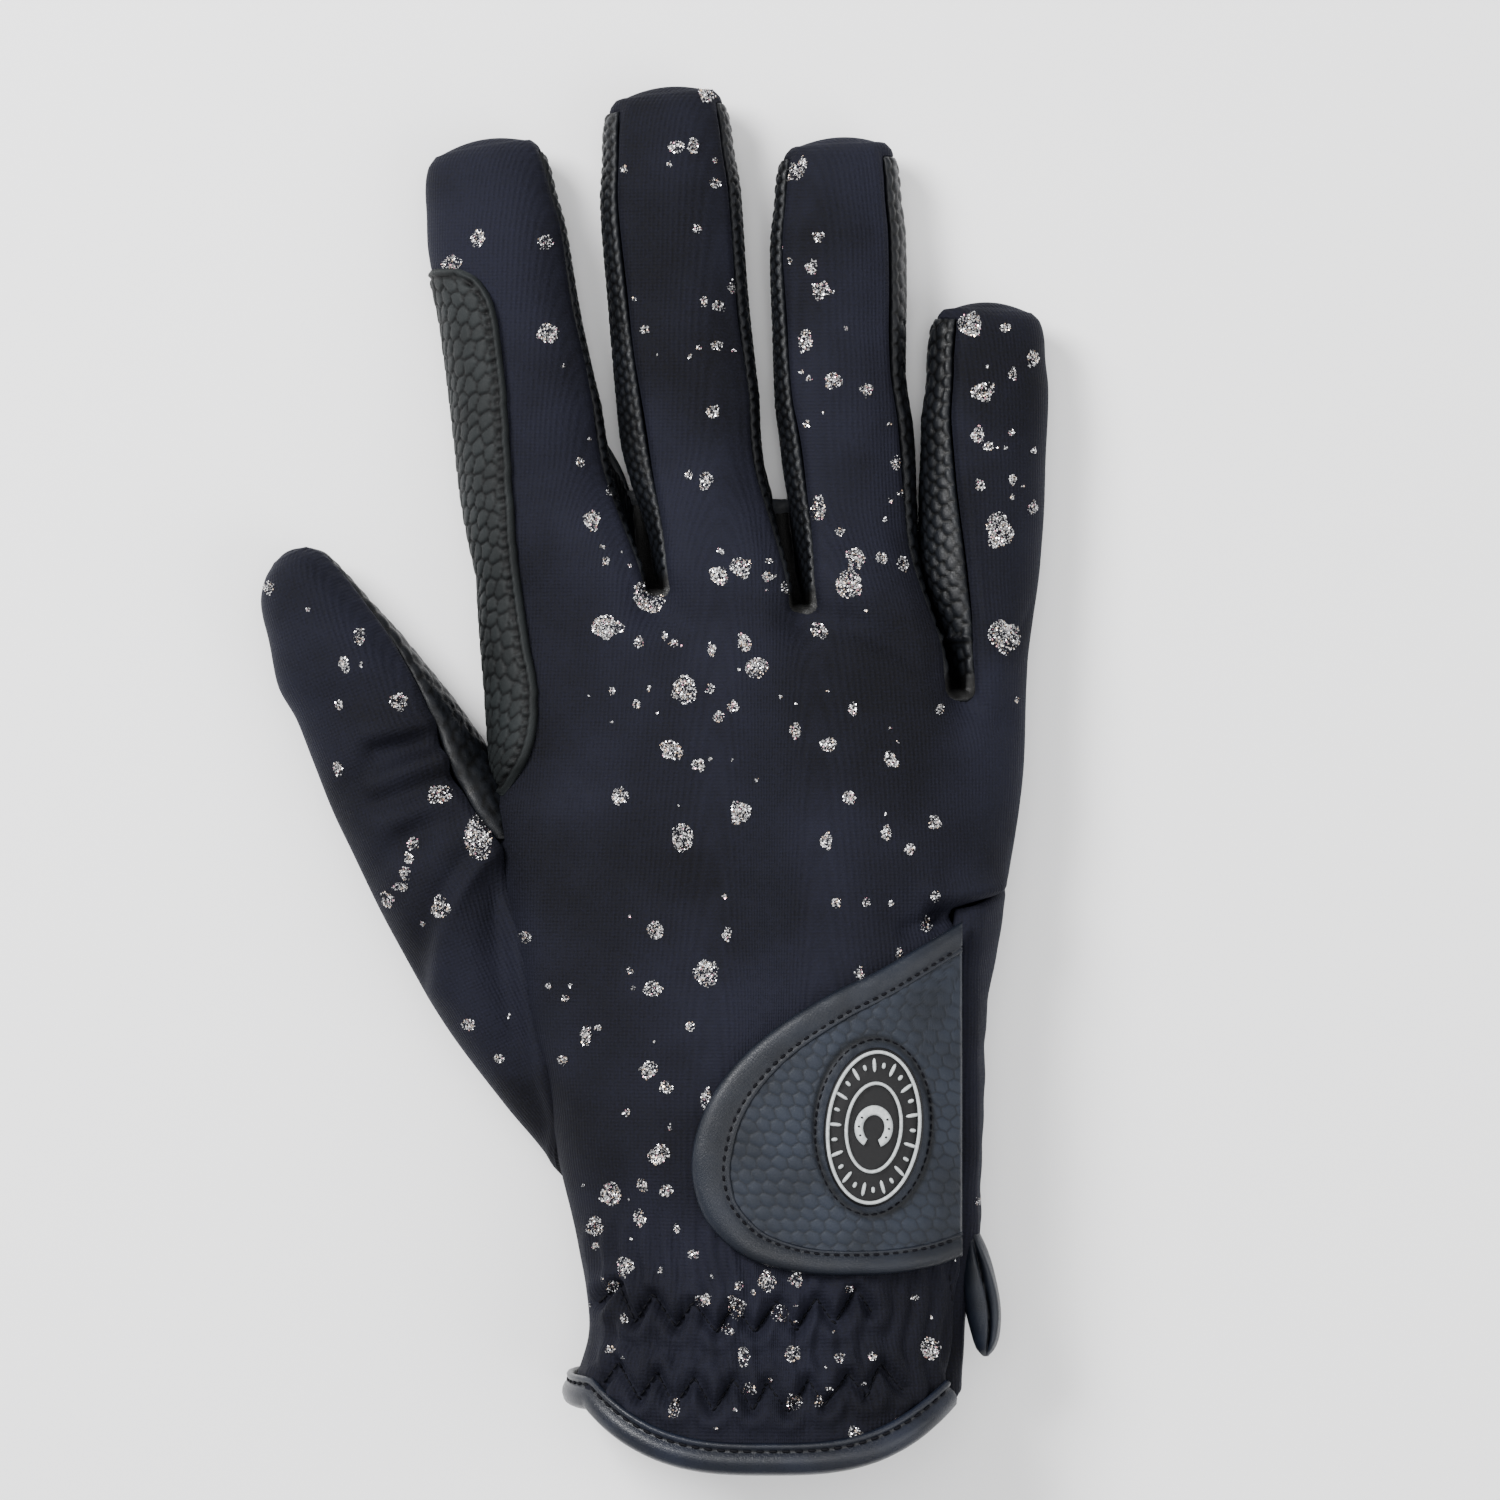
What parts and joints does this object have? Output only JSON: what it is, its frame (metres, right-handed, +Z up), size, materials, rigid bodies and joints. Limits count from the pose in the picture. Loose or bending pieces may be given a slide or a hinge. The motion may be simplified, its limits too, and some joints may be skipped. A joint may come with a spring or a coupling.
{
  "type": "horse riding glove",
  "caption": "Right-hand horse riding glove lying on its palm: stretch fabric back, leather palm and finger walls, D-shaped wrist tab with an oval badge.",
  "frame": {"origin": "middle of the glove's bounding box, on the surface that it lies on", "axes": "+Y from the wrist opening to the fingertips, +X towards the little finger, +Z up out of the back of the hand"},
  "size_m": [0.1354, 0.2386, 0.0382],
  "materials": {
    "navy_knit": "dark navy stretch knit, fine vertical ribs, printed with scattered silver glitter flecks",
    "scaled_leather": "dark slate synthetic leather embossed with rounded scales, matt",
    "plain_leather": "dark slate synthetic leather with a fine scaled grain, matt",
    "slate_leather": "slate-blue synthetic leather with a fine honeycomb emboss",
    "binding_leather": "smooth slate-blue synthetic leather, satin, stitched",
    "black_rubber": "moulded black rubber, matt",
    "grey_print": "light grey raised rubber print"
  },
  "bodies": {
    "root": {"back_panel": "navy_knit", "palm_panel": "plain_leather", "vent_strip": "navy_knit", "thumb_back": "navy_knit", "thumb_palm": "plain_leather", "index_wrap": "scaled_leather", "hem_binding": "binding_leather", "closure_tab": "slate_leather", "closure_binding": "binding_leather", "badge_base": "black_rubber", "badge_outer_ring": "grey_print", "badge_inner_ring": "grey_print", "badge_emblem": "grey_print", "vent_loop": "binding_leather", "fourchette_index_middle": "plain_leather", "fourchette_middle_ring": "plain_leather", "fourchette_ring_little": "plain_leather"}
  },
  "joints": []
}
